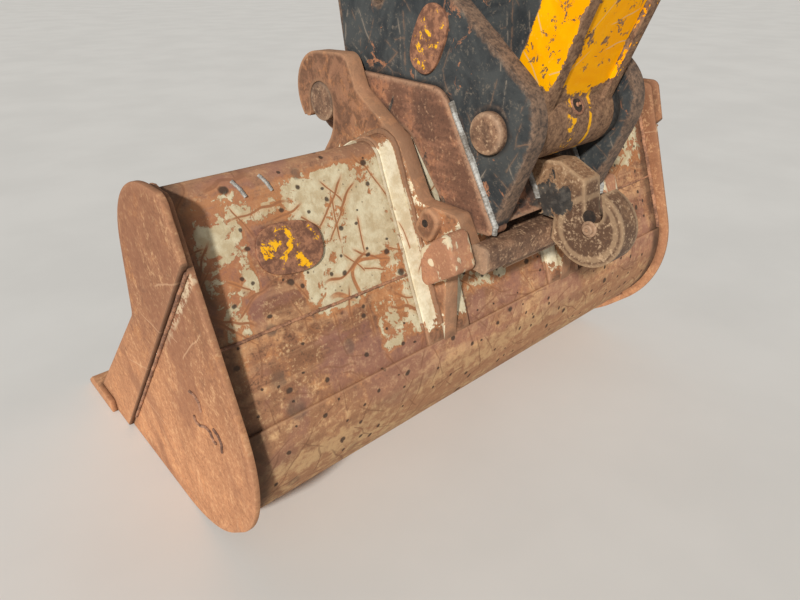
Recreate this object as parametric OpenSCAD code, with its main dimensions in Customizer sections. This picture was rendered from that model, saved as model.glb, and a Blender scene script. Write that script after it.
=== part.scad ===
// Ditching bucket held in a hook-and-wedge quick coupler, with the bucket link on its pin.
// Millimetres, +Z up, +X to the right, +Y towards the bucket's mouth. The origin is the middle
// of the stick pin bore. Outlines are drawn in the bucket's own side view: [y from the back, z from the floor].

/* [Bucket] */
// Width over the side plates
bucket_w = 1512; // [1000:2:2000]
// Reach from the back of the heel to the cutting lip
bucket_reach = 1076; // [1050:1:1120]
// Height of the front side plates
bucket_h = 872; // [866:1:880]
// Thickness of a side plate
side_t = 12; // [8:1:20]
// Thickness of a front side plate
cheek_t = 12; // [8:1:20]
// Radius of the bottom of the heel
heel_r = 400; // [380:1:412]
// Radius of the rounded top front corner
nose_r = 214; // [208:1:220]
// How far the side plates stand proud of the shell at the heel
rim_proud = 34; // [26:1:40]
// Thickness of the shell sheet
shell_t = 14; // [8:1:18]
// Thickness of the wear sheet round the heel
wrap_t = 8; // [5:1:12]

/* [Cutting edge] */
// Thickness of the cutting edge bar
edge_t = 42; // [36:1:55]
// Depth of the cutting edge bar, lip to shell
edge_depth = 205; // [150:1:260]
// Overhang of the bar beyond each side plate
edge_over = 28; // [24:1:60]

/* [Hangers] */
// Thickness of a hanger plate
hanger_t = 38; // [25:1:45]
// Thickness of the doubler sheet under a hanger
pad_t = 10; // [6:1:14]
// Width of a doubler sheet
pad_w = 132; // [90:1:160]
// Width of a lock boss on the hanger's outer face
block_w = 60; // [40:1:80]
// Overlap of the lock crossbar onto a hanger's edge
crossbar_over = 32; // [10:1:36]

/* [Coupler] */
// Width over the coupler's base
base_w = 398; // [380:1:440]
// Thickness of a base side plate
base_t = 48; // [35:1:55]
// Gap between the base and a hanger, each side
base_gap = 4; // [2:0.5:6]
// Thickness of an ear plate
ear_t = 40; // [30:1:44]
// Thickness of the deck plate
deck_t = 30; // [20:1:36]
// Radius of the front bar
bar_r = 45; // [38:0.5:48]
// Radius of the stick pin bore
stick_bore_r = 40; // [35:0.5:45]
// Radius of the link pin
link_pin_r = 40; // [35:0.5:45]
// How far the link pin stands out of each ear
pin_out = 18; // [10:1:24]
// Radius of the guard hole in an ear
guard_hole_r = 21; // [16:0.5:26]

/* [Lock] */
// Wall of a wedge guide beside the wedge
guide_w = 33; // [24:1:45]
// Thickness of the wedge plate
wedge_t = 32; // [24:1:33]
// Radius of the lock cylinder's rod
rod_r = 14; // [10:0.5:18]
// Radius of the lock cylinder's barrel
barrel_r = 26; // [22:0.5:28]

/* [Link] */
// Distance between the link's two pins
link_len = 560; // [480:1:640]
// Lean of the link from upright, towards the back
link_lean = 20; // [0:1:40]
// Radius of the link's two bosses
boss_r = 71; // [66:1:74]
// Thickness of a link side plate
link_t = 30; // [22:1:38]
// Width of the seal between the link's boss and an ear
seal_w = 30; // [20:1:40]
// Running clearance of a pin in its bore
fit = 0.06; // [0.02:0.01:0.1]

/* [Lifting hook] */
// Thickness of the lifting hook
hook_t = 56; // [40:2:70]
// Outer radius of the lifting hook
hook_r = 81; // [74:1:82]

/* [Hidden] */
$fn = 96;

arc_step = 6;      // degrees between the points of an arc, or half of it on a large one
seat = 0.3;        // gap between pieces that only rest on each other
far = 2000;        // reaches past everything

// Side view places: [y, z]. All heights over the heel follow the bucket's own height.
tall = bucket_h / 872;
back_y = 14;                   // the back of the heel
stick_pin = [390, 1225 * tall];
guard_hole = [322, 1127 * tall];
link_pin_at = [-2, 901 * tall];
front_bar_at = [477, 895 * tall];
hanger_line = [147, 745 * tall];    // a point of the line that the wedge slides along
hanger_slope = 45;             // of that line, in degrees
lip_y = back_y + bucket_reach;
mouth_y = lip_y - 53;          // where the mouth's edges meet the floor

hanger_x = base_w / 2 + base_gap;      // inner face of a hanger
deck_w = base_w - 2 * base_t;
ear_x = deck_w / 2 - 1;                // inner face of an ear
boss_w = 2 * (ear_x - seal_w);
link_w = boss_w - 4;
wedge_w = deck_w - 2 * guide_w;
edge_w = bucket_w + 2 * edge_over;

// Outlines: rows of [y, z, radius] taken anticlockwise, a band round discs. A radius below 0 hollows the line,
// and 0 is a sharp corner.
function raised(rows) = [for (row = rows) [row[0], row[1] * tall, row[2]]];
valley = [521, 552 * tall, -55];
nose_at = [220, bucket_h - nose_r];
heel_back = [back_y + heel_r - 100, 371 * tall, heel_r - 100];
heel_low = [430, heel_r, heel_r];
rim_rows = [
  [mouth_y, 0, 0], valley, [nose_at[0], nose_at[1], nose_r - 8],
  [188, bucket_h - 30, 22], heel_back, heel_low];
cheek_rows = [
  [mouth_y, 0, 0], valley, [nose_at[0], nose_at[1], nose_r],
  [178, bucket_h - 26, 26], heel_back + [0, 0, 8], heel_low];
shell_end = [lip_y - edge_depth - 1, 20, 0];
shell_rows = [
  [408, 583 * tall, 0], [nose_at[0], nose_at[1], nose_r - 20], [250, bucket_h - 60, 40],
  heel_back - [0, 0, rim_proud], heel_low - [0, 0, rim_proud], shell_end];
hanger_rows = raised([
  [52, 396, 8], [300, 560, 0], [400, 640, 0], [482, 752, 12], [531, 870, -100],
  [477, 895, -(bar_r + seat)], [535, 866, 13], [480, 914, 92],
  [397, 975, 34], [318, 960, -30], [226, 834, 30], [125, 758, -20], [36, 722, 16], [-6, 652, 16],
  [33, 581, -16]]);
block_rows = raised([[50, 609, 15], [57, 664, 14], [4, 706, 14], [-17, 655, 15]]);
crossbar_rows = raised([[-42, 646, 13], [-22, 648, 13], [-22, 678, 13], [-42, 676, 13]]);
base_rows = raised([[-18, 712, 14], [74, 697, 6], [250, 812, -(48 + pad_t)],
                    [477, 895, bar_r + 33], [154, 910, 57]]);
deck_rows = raised([[404, 961, 0], [154, 910, 51], [-25, 716, 0]]);
ear_rows = raised([[-22, 722, 10], [250, 905, 0], [415, 935, 15],
                   [390, 1225, stick_bore_r + 50], [9, 1300, -200], [6, 918, 106]]);
hook_rows = raised([[-140, 702, hook_r], [20, 715, 8], [70, 800, 10], [-52, 802, 24]]);
throat_rows = raised([[-150, 740, 20], [-125, 840, 16]]);
hook_notch = [-58, 704 * tall];    // its corner over the lock crossbar

// Outward normal of the straight line that leaves row a for row b
function side_normal(a, b) =
  let (d = [b[0] - a[0], b[1] - a[1]], u = d / norm(d), k = (a[2] - b[2]) / norm(d))
  k * u + sqrt(max(0, 1 - k * k)) * [u[1], -u[0]];

// Anticlockwise turn from angle a to angle b
function turn(a, b) = let (t = (b - a) % 360, p = t < 0 ? t + 360 : t) p > 359.9 ? 0 : p;

// Points of the arc round row c, from normal m to normal n, moved in by d
function arc(c, m, n, d) =
  let (r = c[2] - d, a0 = atan2(m[1], m[0]), a1 = atan2(n[1], n[0]),
       sweep = c[2] < 0 ? -turn(a1, a0) : turn(a0, a1),
       steps = max(1, ceil(abs(sweep) / (abs(c[2]) > 150 ? arc_step / 2 : arc_step))))
  [for (i = [0:steps]) [c[0], c[1]] + r * [cos(a0 + sweep * i / steps), sin(a0 + sweep * i / steps)]];

// Closed outline of the band, moved in by d
function band(rows, d = 0) =
  let (n = len(rows), s = [for (i = [0:n - 1]) side_normal(rows[i], rows[(i + 1) % n])])
  [for (i = [0:n - 1]) each rows[i][2] == 0 && d == 0 ? [[rows[i][0], rows[i][1]]]
    : arc(rows[i], s[(i + n - 1) % n], s[i], d)];

// Open path along the band, moved in by d, that starts and ends square
function path(rows, d = 0) =
  let (n = len(rows), s = [for (i = [0:n - 2]) side_normal(rows[i], rows[i + 1])])
  [for (i = [0:n - 1])
    each i == 0 ? [[rows[0][0], rows[0][1]] + (rows[0][2] - d) * s[0]]
      : i == n - 1 ? [[rows[i][0], rows[i][1]] + (rows[i][2] - d) * s[i - 1]]
      : arc(rows[i], s[i - 1], s[i], d)];

// Sheet between two depths of an open path
function sheet(rows, from, to) =
  let (inner = path(rows, to)) concat(path(rows, from), [for (i = [len(inner) - 1:-1:0]) inner[i]]);

// From the side view to the model: slabs across X, in the stick pin's frame
module place() translate([0, -stick_pin[0], -stick_pin[1]]) children();
module across(x, w) translate([x, 0, 0]) rotate([90, 0, 90]) linear_extrude(w) children();
module both_sides() { children(); mirror([1, 0, 0]) children(); }
module along_hanger() translate([0, hanger_line[0], hanger_line[1]]) rotate([hanger_slope, 0, 0]) children();
module cross_pin(at, r, w) translate([-w / 2, at[0], at[1]]) rotate([0, 90, 0]) cylinder(h = w, r = r);

// Bucket
module side_plate() place() across(bucket_w / 2 - side_t, side_t) polygon(band(rim_rows));

module side_plate_right() color("sienna") side_plate();
module side_plate_left() color("sienna") mirror([1, 0, 0]) side_plate();

shell_w = bucket_w - 2 * side_t;
module shell() color("sienna") place() across(-shell_w / 2, shell_w) polygon(sheet(shell_rows, 0, shell_t));

// The wear sheet starts on the back arc and runs under to the cutting edge
wrap_start = 166;      // angle on the back arc
wrap_top = [shell_rows[3][0] + shell_rows[3][2] * cos(wrap_start),
            shell_rows[3][1] + shell_rows[3][2] * sin(wrap_start), 0];
wrap_rows = [wrap_top, shell_rows[3], shell_rows[4], shell_end];
module wear_wrapper() color("sienna") place() across(-shell_w / 2, shell_w)
  polygon(sheet(wrap_rows, -wrap_t, -seat));

bar_end = [nose_at[0] + shell_rows[1][2] * cos(24), nose_at[1] + shell_rows[1][2] * sin(24), 0];
module mouth_bar() color("sienna") place() across(-shell_w / 2, shell_w)
  polygon(sheet([shell_rows[0], shell_rows[1], bar_end], shell_t + seat, shell_t + 28));

module cutting_edge() color("sienna") place() difference() {
  across(-edge_w / 2, edge_w)
    polygon([[lip_y - edge_depth, 0], [lip_y - 4, 0], [lip_y, 12], [lip_y - 40, edge_t],
             [lip_y - edge_depth, edge_t]]);
  both_sides() across(bucket_w / 2 - side_t, side_t) polygon(band(rim_rows));
  both_sides() across(bucket_w / 2, cheek_t) cheek_outline();
}

module cheek_outline() intersection() {
  polygon(band(cheek_rows));
  polygon([[100, 789], [796, 0], [far, 0], [far, far], [100, far]]);
}
module cheek() place() across(bucket_w / 2, cheek_t) cheek_outline();

module cheek_right() color("sienna") cheek();
module cheek_left() color("sienna") mirror([1, 0, 0]) cheek();

// Hangers
pad_rows = concat([for (i = [0:3]) shell_rows[i]], [wrap_top]);
module hanger() place() across(hanger_x, hanger_t) difference() {
  polygon(band(hanger_rows));
  polygon(path(shell_rows, -pad_t - seat));
}
module hanger_right() color("peru") hanger();
module hanger_left() color("peru") mirror([1, 0, 0]) hanger();

module hanger_pads() color("antiquewhite") place() both_sides()
  across(hanger_x + hanger_t / 2 - pad_w / 2, pad_w) polygon(sheet(pad_rows, -pad_t, -seat));

module lock_blocks() color("sienna") place() both_sides()
  across(hanger_x + hanger_t, block_w) polygon(band(block_rows));

module lock_crossbar() color("rosybrown") place() {
  across(-hanger_x, 2 * hanger_x) polygon(band(crossbar_rows));
  both_sides() across(hanger_x, crossbar_over) difference() {
    polygon(band(crossbar_rows));
    polygon(band(hanger_rows));
  }
}

// Coupler base
module base_side() place() difference() {
  across(base_w / 2 - base_t, base_t) polygon(band(base_rows));
  cross_pin(front_bar_at, bar_r, base_w + 2);
}
module base_right() color("brown") base_side();
module base_left() color("brown") mirror([1, 0, 0]) base_side();

module base_deck() color("brown") place() across(-deck_w / 2, deck_w) polygon(sheet(deck_rows, 0, deck_t));

barrel_up = 46;      // height of the lock cylinder's axis over the wedge's line
module base_crossplate() color("brown") place() along_hanger() difference() {
  translate([-deck_w / 2, 128, 22]) cube([deck_w, 24, 64]);
  translate([0, 127, barrel_up]) rotate([-90, 0, 0]) cylinder(h = 26, r = barrel_r);
}

module front_bar() color("gray") place() cross_pin(front_bar_at, bar_r, 2 * (hanger_x + hanger_t));

// Ears
module ear() place() difference() {
  across(ear_x, ear_t) difference() {
    polygon(band(ear_rows));
    polygon(band(base_rows));
  }
  cross_pin(stick_pin, stick_bore_r, far);
  cross_pin(link_pin_at, link_pin_r, far);
  cross_pin(guard_hole, guard_hole_r, far);
}
module ear_right() color("darkslategray") ear();
module ear_left() color("darkslategray") mirror([1, 0, 0]) ear();

module link_pin() color("peru") place() cross_pin(link_pin_at, link_pin_r, 2 * (ear_x + ear_t + pin_out));

// Lifting hook on the deck, cut away over the lock crossbar
module lifting_hook() color("peru") place() across(-hook_t / 2, hook_t) difference() {
  polygon(band(hook_rows));
  polygon(band(base_rows, 6));
  polygon(band(throat_rows));
  polygon(sheet(deck_rows, -seat, deck_t));
  polygon([[hook_notch[0], 0], [far, 0], [far, hook_notch[1]], hook_notch]);
}

// Lock
module wedge_guides() color("brown") place() along_hanger() both_sides()
  translate([wedge_w / 2 - 8, -100, -8]) difference() {
    cube([guide_w + 8, 130, wedge_t + 20]);
    translate([-1, -1, 9.5]) cube([9.5, 132, wedge_t + 1]);
  }

module lock_cylinder() color("dimgray") place() along_hanger() translate([0, 55, barrel_up])
  rotate([-90, 0, 0]) difference() {
    cylinder(h = 125, r = barrel_r);
    translate([0, 0, -1]) cylinder(h = 113, r = rod_r + fit);
  }

module lock_wedge() color("rosybrown") place() along_hanger() {
  across(-wedge_w / 2, wedge_w)
    polygon([[-215, 2], [-20, 2], [-20, 2 + wedge_t], [-185, 2 + wedge_t], [-215, 2 + wedge_t / 2]]);
  translate([-22, -60, wedge_t]) cube([44, 40, 62 - wedge_t]);
  translate([0, -40, barrel_up]) rotate([-90, 0, 0]) cylinder(h = 135, r = rod_r);
}

// Link
link_half = 46;      // half the width of a link side plate
link_top = link_pin_at + link_len * [-sin(link_lean), cos(link_lean)];
link_rows = [[link_pin_at[0], link_pin_at[1], link_half], [link_top[0], link_top[1], link_half]];
module link() color("gold") place() difference() {
  union() {
    cross_pin(link_pin_at, boss_r, boss_w);
    cross_pin(link_top, boss_r, boss_w);
    both_sides() across(link_w / 2 - link_t, link_t) polygon(band(link_rows));
    translate([0, link_pin_at[0], link_pin_at[1]]) rotate([link_lean, 0, 0])
      translate([-link_w / 2 + 5, 10 - link_half, 40]) cube([link_w - 10, 26, link_len - 80]);
  }
  cross_pin(link_pin_at, link_pin_r + fit, far);
  cross_pin(link_top, link_pin_r, far);
}

module link_seals() color("black") place() both_sides() difference() {
  translate([boss_w / 2 + seat, link_pin_at[0], link_pin_at[1]]) rotate([0, 90, 0])
    cylinder(h = seal_w - 2 * seat, r = boss_r - 3);
  cross_pin(link_pin_at, link_pin_r + fit, far);
}

side_plate_left();
side_plate_right();
shell();
wear_wrapper();
mouth_bar();
cutting_edge();
cheek_left();
cheek_right();
hanger_left();
hanger_right();
hanger_pads();
lock_blocks();
lock_crossbar();
base_left();
base_right();
base_deck();
base_crossplate();
front_bar();
ear_left();
ear_right();
link_pin();
lifting_hook();
wedge_guides();
lock_cylinder();
lock_wedge();
link();
link_seals();
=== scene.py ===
import math
import random
from functools import reduce
import bmesh
import bpy
from mathutils import Matrix, Vector
from mathutils.bvhtree import BVHTree
from mathutils.kdtree import KDTree


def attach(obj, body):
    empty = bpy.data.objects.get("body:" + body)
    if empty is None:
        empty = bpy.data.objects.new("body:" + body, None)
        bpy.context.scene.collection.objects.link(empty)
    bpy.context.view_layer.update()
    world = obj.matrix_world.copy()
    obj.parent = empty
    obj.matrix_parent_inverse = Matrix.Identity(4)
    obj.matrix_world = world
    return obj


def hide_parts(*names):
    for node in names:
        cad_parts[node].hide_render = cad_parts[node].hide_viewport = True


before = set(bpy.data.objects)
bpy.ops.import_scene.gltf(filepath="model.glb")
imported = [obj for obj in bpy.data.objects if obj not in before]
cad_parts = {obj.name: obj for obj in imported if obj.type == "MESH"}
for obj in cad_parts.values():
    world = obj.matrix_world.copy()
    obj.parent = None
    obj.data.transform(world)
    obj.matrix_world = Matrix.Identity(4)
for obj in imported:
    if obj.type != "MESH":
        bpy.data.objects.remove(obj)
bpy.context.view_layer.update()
print("frame loaded")

stickPin = (0.390, 1.225)  # in the bucket's side view: metres from its back, metres over the ground


def spot(x, y, z):
    # millimetres in the bucket's own side view, to the shared frame
    return Vector((x / 1000, y / 1000 - stickPin[0], z / 1000 - stickPin[1]))


def tone(red, green, blue):
    # a colour as seen on a screen, to the shader's own scale
    def straight(c):
        c = c / 255
        return c / 12.92 if c < 0.04045 else ((c + 0.055) / 1.055) ** 2.4
    return (straight(red), straight(green), straight(blue), 1.0)


# Shader building

class Wire:
    # a socket that takes arithmetic
    def __init__(self, nodes, socket):
        self.nodes = nodes
        self.socket = socket

    def math(self, operation, *others):
        return self.nodes.add("ShaderNodeMath", {"operation": operation}, dict(enumerate((self,) + others)))

    def __add__(self, other):
        return self.math("ADD", other)

    def __sub__(self, other):
        return self.math("SUBTRACT", other)

    def __rsub__(self, other):
        return self.math("MULTIPLY_ADD", -1.0, other)

    def __mul__(self, other):
        return self.math("MULTIPLY", other)

    def __truediv__(self, other):
        return self.math("DIVIDE", other)

    def __abs__(self):
        return self.math("ABSOLUTE")

    __radd__ = __add__
    __rmul__ = __mul__

    def most(self, other):
        return self.math("MAXIMUM", other)

    def eased(self, low, high, first, last):
        return self.nodes.add("ShaderNodeMapRange", {"interpolation_type": "SMOOTHSTEP"},
                              {0: self, 1: low, 2: high, 3: first, 4: last})

    def rise(self, low, high):
        # eases from 0 to 1 as the value goes from low to high
        return self.eased(low, high, 0.0, 1.0)

    def fall(self, low, high):
        # eases from 1 to 0 as the value goes from low to high
        return self.eased(low, high, 1.0, 0.0)

    def near(self, middle, half, soft):
        # 1 within half of the middle, easing to 0 over soft
        return abs(self - middle).fall(half, half + soft)


class Nodes:
    # a node tree that is filled by type, settings and sockets
    def __init__(self, owner):
        owner.use_nodes = True
        self.tree = owner.node_tree
        self.tree.nodes.clear()

    def add(self, kind, settings=None, inputs=None, out=0):
        # gives the wire of one output, the wires of several, or for None the node itself
        node = self.tree.nodes.new(kind)
        for key, value in (settings or {}).items():
            setattr(node, key, value)
        for key, value in (inputs or {}).items():
            self.put(node.inputs[key], value)
        if out is None:
            return node
        if isinstance(out, tuple):
            return [Wire(self, node.outputs[o]) for o in out]
        return Wire(self, node.outputs[out])

    def put(self, socket, value):
        if isinstance(value, Wire):
            self.tree.links.new(value.socket, socket)
        else:
            socket.default_value = value


class Paint(Nodes):
    # one material, built from expressions and from the tones of its dictionary
    def __init__(self, name, tones=None):
        self.material = bpy.data.materials.new(name)
        super().__init__(self.material)
        self.tones = tones
        self.colour = None
        self.shader = self.add("ShaderNodeBsdfPrincipled", out=None)
        self.add("ShaderNodeOutputMaterial", {}, {0: Wire(self, self.shader.outputs[0])}, None)
        self.here = self.add("ShaderNodeTexCoord", out="Object")
        self.x, self.y, z = self.add("ShaderNodeSeparateXYZ", {}, {0: self.here}, (0, 1, 2))
        self.height = z + stickPin[1]      # over the ground
        self.back = self.y + stickPin[0]   # from the bucket's back

    def moved(self, scale=(1, 1, 1), turn=(0, 0, 0), shift=(0, 0, 0)):
        return self.add("ShaderNodeMapping", {}, {0: self.here, 1: shift, 2: turn, 3: scale})

    def cloud(self, scale, detail=4.0, rough=0.55, twist=0.0, at=None):
        inputs = {"Vector": at or self.here, "Scale": scale, "Detail": detail}
        inputs.update({"Roughness": rough, "Distortion": twist})
        return self.add("ShaderNodeTexNoise", {}, inputs)

    def grains(self, coarse, middle, fine, detail=5):
        # mottling at three sizes
        mid, small = self.cloud(coarse, detail, 0.62, 0.6), self.cloud(middle, 4, 0.65, 0.3)
        return mid, small, self.cloud(fine, 3, 0.7)

    def shaken(self, at, scale, reach):
        # the place, pushed about by noise
        inputs = {"Vector": self.here, "Scale": scale, "Detail": 2.0}
        stray = self.add("ShaderNodeTexNoise", {}, inputs, "Color")
        stray = self.add("ShaderNodeVectorMath", {"operation": "SCALE"}, {0: stray, "Scale": reach})
        return self.add("ShaderNodeVectorMath", {"operation": "ADD"}, {0: at, 1: stray})

    def mark(self, name):
        # a number kept on the mesh, such as the distance to an edge
        return self.add("ShaderNodeAttribute", {"attribute_name": name}, {}, "Fac")

    def facing(self, axis):
        # how far the surface looks along an axis of the object
        normal = self.add("ShaderNodeNewGeometry", {}, {}, "Normal")
        return self.add("ShaderNodeSeparateXYZ", {}, {0: normal}, axis)

    def away(self, back, height):
        # metres from a place in the side view
        dy, dz = self.back - back, self.height - height
        return (dy * dy + dz * dz).math("SQRT")

    def mix(self, share, first, second):
        first, second = [self.tones[c] if isinstance(c, str) else c for c in (first, second)]
        return self.add("ShaderNodeMix", {"data_type": "RGBA"}, {0: share, 6: first, 7: second}, 2)

    def over(self, share, layer):
        # lays another colour over the colour so far
        self.colour = self.mix(share, self.colour, layer)

    def finish(self, rough, height=None, deep=0.001, strength=0.6, metal=0.0, shine=None):
        values = {"Base Color": self.colour, "Roughness": rough, "Metallic": metal,
                  "Specular IOR Level": shine}
        if height is not None:
            values["Normal"] = self.add("ShaderNodeBump", {}, {"Strength": strength, "Distance": deep,
                                                               "Height": height})
        for name, value in values.items():
            if value is not None:
                self.put(self.shader.inputs[name], value)
        return self.material


rust = {
    "main": tone(174, 125, 94), "dark": tone(134, 94, 70), "orange": tone(196, 134, 86),
    "tan": tone(212, 176, 134), "pit": tone(88, 66, 54), "spot": tone(70, 58, 50),
    "cream": tone(214, 203, 172), "creamDirty": tone(190, 172, 138),
}


def rustColour(p, warm=0.5, flecks=1.0):
    # rolled steel rusted over, with mottling, orange bloom, dusty flecks and pits
    broad = p.cloud(2.6, 3, 0.6, 0.4)
    mid, small, fine = p.grains(11, 48, 150)
    p.colour = p.mix((broad * 0.6 + mid * 0.6).rise(0.46, 0.72), rust["dark"], rust["main"])
    p.over((mid * 0.6 + small * 0.6).rise(0.60, 0.78) * warm, rust["orange"])
    p.over((small * 0.6 + fine * 0.7).rise(0.67, 0.84) * (flecks * 0.8), rust["tan"])
    p.over((small * 0.5 + fine * 0.8).fall(0.48, 0.61) * (flecks * 0.75), rust["pit"])
    return broad, mid, small, fine


def swirls(p, count, thin, seed, twist=0.25):
    # broken curved lines in several directions
    lines = []
    pick = random.Random(seed)
    for i in range(count):
        turn = [pick.uniform(0, 3.1) for k in range(3)]
        at = p.moved((1, 1, 1), turn, (pick.uniform(0, 9), pick.uniform(0, 9), 0))
        wave = p.cloud(pick.uniform(2.2, 4.2), 1.5, 0.4, twist, at)
        broken = p.cloud(pick.uniform(7, 12), 2, 0.5, 0, at).rise(0.48, 0.56)
        lines.append(abs(wave - pick.uniform(0.44, 0.56)).fall(thin * 0.5, thin) * broken)
    return reduce(Wire.most, lines)


def strokes(p, across, along, scale, thin, share, seed, bend=0.01):
    # straight scratches at any angle, one in each chosen cell, and the soft rust beside them
    flat = p.add("ShaderNodeCombineXYZ", {}, {0: across + seed * 1.37, 1: along + seed * 0.71})
    middle, lot = p.add("ShaderNodeTexVoronoi", {"voronoi_dimensions": "2D"},
                        {"Vector": flat, "Scale": scale}, ("Position", "Color"))
    away = p.add("ShaderNodeVectorMath", {"operation": "SUBTRACT"}, {0: flat, 1: middle})
    dx, dy = p.add("ShaderNodeSeparateXYZ", {}, {0: away}, (0, 1))
    turn, shift, chosen = p.add("ShaderNodeSeparateColor", {}, {0: lot}, (0, 1, 2))
    turn = turn * 6.283
    side, length = turn.math("SINE"), turn.math("COSINE")
    aside = abs(dx * side - dy * length + (shift - 0.5) * (0.4 / scale) + (p.cloud(8, 2) - 0.5) * bend)
    reach = abs(dx * length + dy * side).fall(0.30 / scale, 0.50 / scale)
    reach = reach * chosen.rise(1 - share, 1 - share + 0.02)
    return aside.fall(thin * 0.4, thin) * reach, aside.fall(thin, thin * 3.5) * reach


def spotted(p, at, dimensions, scale, share):
    # distance to the middle of the cell, whether the cell is chosen, and a number of its own
    reach, lot = p.add("ShaderNodeTexVoronoi", {"voronoi_dimensions": dimensions},
                       {"Vector": at, "Scale": scale}, ("Distance", "Color"))
    chosen, grade = p.add("ShaderNodeSeparateColor", {}, {0: lot}, (0, 1))
    return reach / scale, chosen.rise(1 - share, 1 - share + 0.02), grade


def pitted(p, scale, size, share, seed=0):
    # round spots in space, of uneven strength
    at = p.moved((1, 1, 1), (0.3 + seed, 0.2, 0.5), (seed, seed * 2.0, 0))
    reach, chosen, grade = spotted(p, p.shaken(at, 40.0, 0.014), "3D", scale, share)
    return reach.fall(size * 0.45, size) * chosen * (grade * 0.5 + 0.5)


def spots(p, across, along, scale, size, share, seed=0):
    # round spots on a sheet, of uneven size
    flat = p.add("ShaderNodeCombineXYZ", {}, {0: across + seed * 2.3, 1: along + seed * 1.9})
    reach, chosen, grade = spotted(p, p.shaken(flat, 45.0, 0.010), "2D", scale, share)
    return (reach / (grade * 0.6 + 0.5)).fall(size * 0.5, size) * chosen


shellTones = {
    "top": tone(160, 122, 98), "brushedPale": tone(198, 154, 116), "brushedDark": tone(138, 96, 74),
    "low": tone(224, 168, 124), "dust": tone(242, 202, 150), "bruise": tone(150, 106, 96),
    "seam": tone(206, 160, 118), "halo": tone(190, 128, 82), "scratch": tone(128, 88, 66),
    "stain": tone(196, 152, 110), "oil": tone(96, 84, 74), "edge": tone(190, 146, 112),
    "grime": tone(84, 62, 50), "heel": tone(220, 168, 128), "rim": tone(84, 66, 54),
}

creamZones = (  # where cream is left: metres across (middle, half, softness), the same in height, strength
    (-0.405, 0.115, 0.06, 0.705, 0.110, 0.06, 1.00), (-0.675, 0.040, 0.04, 0.725, 0.050, 0.05, 0.94),
    (-0.345, 0.045, 0.04, 0.530, 0.050, 0.05, 0.90), (-0.600, 0.120, 0.05, 0.800, 0.020, 0.04, 0.84),
    (-0.690, 0.020, 0.03, 0.630, 0.030, 0.04, 0.86), (0.010, 0.170, 0.10, 0.570, 0.050, 0.06, 0.90),
    (0.620, 0.080, 0.08, 0.730, 0.070, 0.07, 0.88),
)

shellScratches = (  # scale, width in metres, share of cells, seed, bend
    (7.0, 0.0030, 0.90, 1, 0.05), (12.0, 0.0022, 0.90, 2, 0.04), (9.0, 0.0026, 0.85, 5, 0.06),
)


def shellPaint(name):
    # the shell: brown, brushed along its width, with what is left of a cream coat on its back
    p = Paint(name, shellTones)
    broad, mid, small, fine = rustColour(p, 0.8)
    edge, near = p.mark("edge"), p.mark("near")
    brushed = p.cloud(9, 5, 0.62, 0.2, p.moved((0.22, 1, 3.2)))
    p.over(p.height.rise(0.78, 0.85) * 0.5, "top")
    p.over(brushed.rise(0.50, 0.66) * 0.5, "brushedPale")
    p.over(brushed.fall(0.36, 0.49) * 0.5, "brushedDark")
    low = p.height.fall(0.20, 0.56)
    outer = p.facing(1).fall(-0.10, 0.30) * p.y.fall(-0.14, -0.08)
    dust = p.cloud(6, 6, 0.68, 0.5, p.moved((0.45, 1, 2.2)))
    p.over(low * 0.62, "low")
    p.over(low * (dust * 0.6 + small * 0.5).rise(0.51, 0.66) * 0.9, "dust")
    bruise = p.cloud(4, 4, 0.6, 0.6) + p.height.near(0.47, 0.06, 0.10) * 0.08
    p.over(bruise.rise(0.52, 0.64) * (0.55 - low * 0.35), "bruise")
    seam = p.height.near(0.585, 0.012, 0.020) * small.rise(0.35, 0.6) * p.y.fall(-0.2, -0.1)
    p.over(seam * 0.5, "seam")
    zones = [p.x.near(*row[:3]) * p.height.near(*row[3:6]) * row[6] for row in creamZones]
    zone = reduce(Wire.most, zones) * outer
    patch = p.cloud(9, 6, 0.66, 0.5)
    flake = p.cloud(42, 5, 0.70, 0.4)
    coat = zone * 0.55 + patch * 0.60 + flake * 0.38
    keep = coat.rise(0.955, 0.980)
    scratches = [strokes(p, p.x, p.height, *row) for row in shellScratches]
    line, beside = [reduce(Wire.most, wires) for wires in zip(*scratches)]
    keep = keep * (1 - line) * (1 - swirls(p, 2, 0.007, 7))
    p.over((coat.rise(0.84, 0.93) * 0.5).most(beside * zone * 0.8), "halo")
    p.over(line * 0.5, "scratch")
    cream = p.mix((small * 0.6 + mid * 0.5).rise(0.44, 0.66), rust["creamDirty"], rust["cream"])
    cream = p.mix(beside * 0.4, cream, "stain")
    cream = p.mix(pitted(p, 70.0, 0.0026, 0.5, 6) * 0.8, cream, rust["pit"])
    p.over(keep, cream)
    oily = spots(p, p.x, p.height, 8.0, 0.024, 0.45, 2) * p.x.fall(-0.50, -0.40)
    p.over(oily * mid.rise(0.3, 0.6) * 0.6, "oil")
    girth = p.height * 1.05 + p.back * 0.5
    dots = spots(p, p.x, girth, 10.0, 0.0110, 0.65, 1).most(spots(p, p.x, girth, 19.0, 0.0066, 0.50, 4))
    p.over(dots * 0.9, rust["spot"])
    p.over((edge + mid * 0.008).fall(0.004, 0.011) * 0.5, "edge")
    step = p.height.near(0.43, 0.04, 0.03) * abs(p.x).fall(0.69, 0.71)  # less grime and painted shade where the wear sheet ends
    # grime and painted shade: darker close to other pieces
    p.over(near.fall(0.0, 0.018) * (0.6 - step * 0.5), "grime")
    # lighter near the ground: worn dust and a painted highlight along the bottom edge
    p.over(p.height.fall(0.10, 0.24) * 0.45, "heel")
    # painted shadow: a dark band on the shell beside the side plates, where their proud rims cast shade
    rim = abs(p.x).rise(0.690, 0.722) * (0.55 + mid.rise(0.4, 0.6) * 0.3)
    p.over(rim, "rim")
    height = broad * 2.0 + mid * 0.5 + small * 0.5 + fine * 0.35 + keep * 0.3 - dots * 0.5
    return p.finish(0.82 - keep * 0.14 + fine * 0.10, height, 0.0024, 0.7, shine=0.15)


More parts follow.
